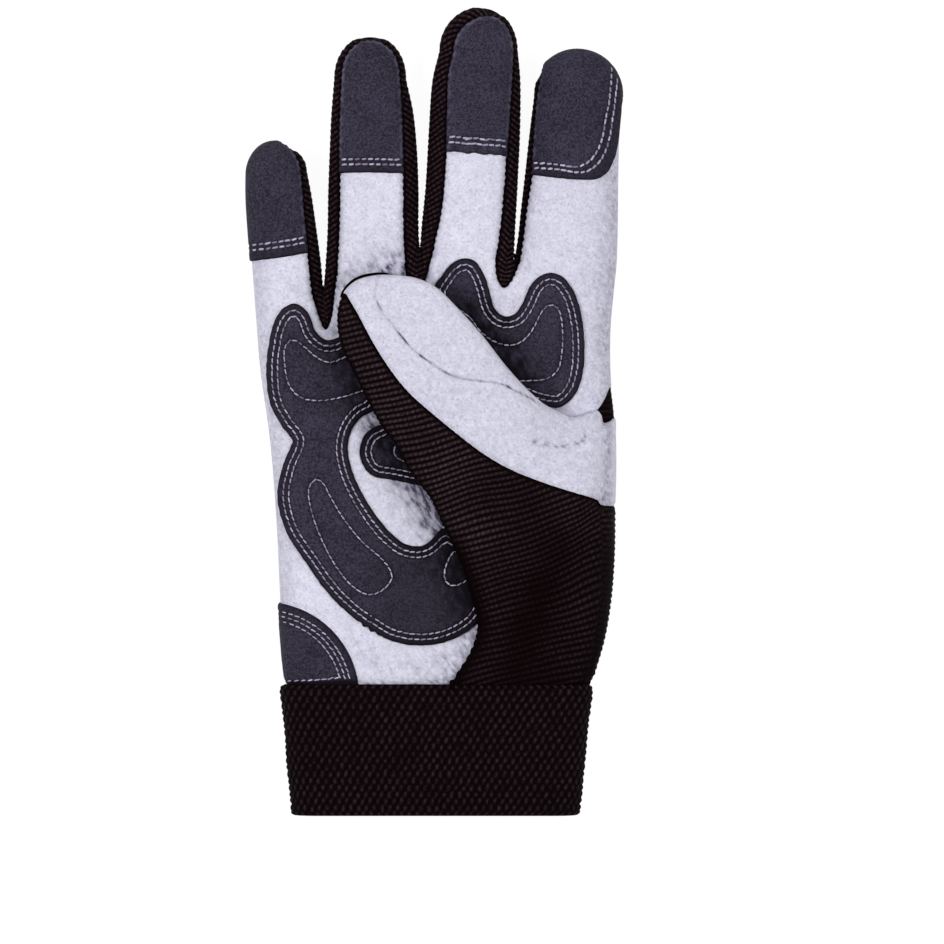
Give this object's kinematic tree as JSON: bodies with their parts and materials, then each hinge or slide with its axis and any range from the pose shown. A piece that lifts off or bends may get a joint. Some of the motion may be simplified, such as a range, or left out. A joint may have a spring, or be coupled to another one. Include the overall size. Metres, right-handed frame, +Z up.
{
  "type": "work glove",
  "caption": "Right-hand work glove of pale suede with dark reinforced palm pads and fingertips, knit back and broad elastic cuff, lying palm up with its thumb folded in.",
  "frame": {"origin": "on the surface that the glove lies on, under the middle of its outline", "axes": "+Y from the cuff to the fingertips, +X across the palm to the side of the thumb, +Z up out of the palm"},
  "size_m": [0.1165, 0.2509, 0.0318],
  "materials": {
    "suede": "soft napped split leather, pale lavender grey",
    "dark_leather": "matt synthetic leather, dark blue grey, with pale topstitching",
    "knit": "ribbed knit, black",
    "elastic": "broad woven elastic with staggered bumps, black"
  },
  "bodies": {
    "root": {"back_panel": "knit", "palm_panel": "suede", "strip_little_ring": "knit", "strip_ring_middle": "knit", "strip_middle_index": "knit", "thumb_front": "suede", "thumb_back": "knit", "cuff": "elastic", "cap_little": "dark_leather", "cap_ring": "dark_leather", "cap_middle": "dark_leather", "cap_index": "dark_leather", "pad_palm": "dark_leather", "pad_finger": "dark_leather", "pad_thumb": "dark_leather", "pad_heel": "dark_leather"}
  },
  "joints": []
}
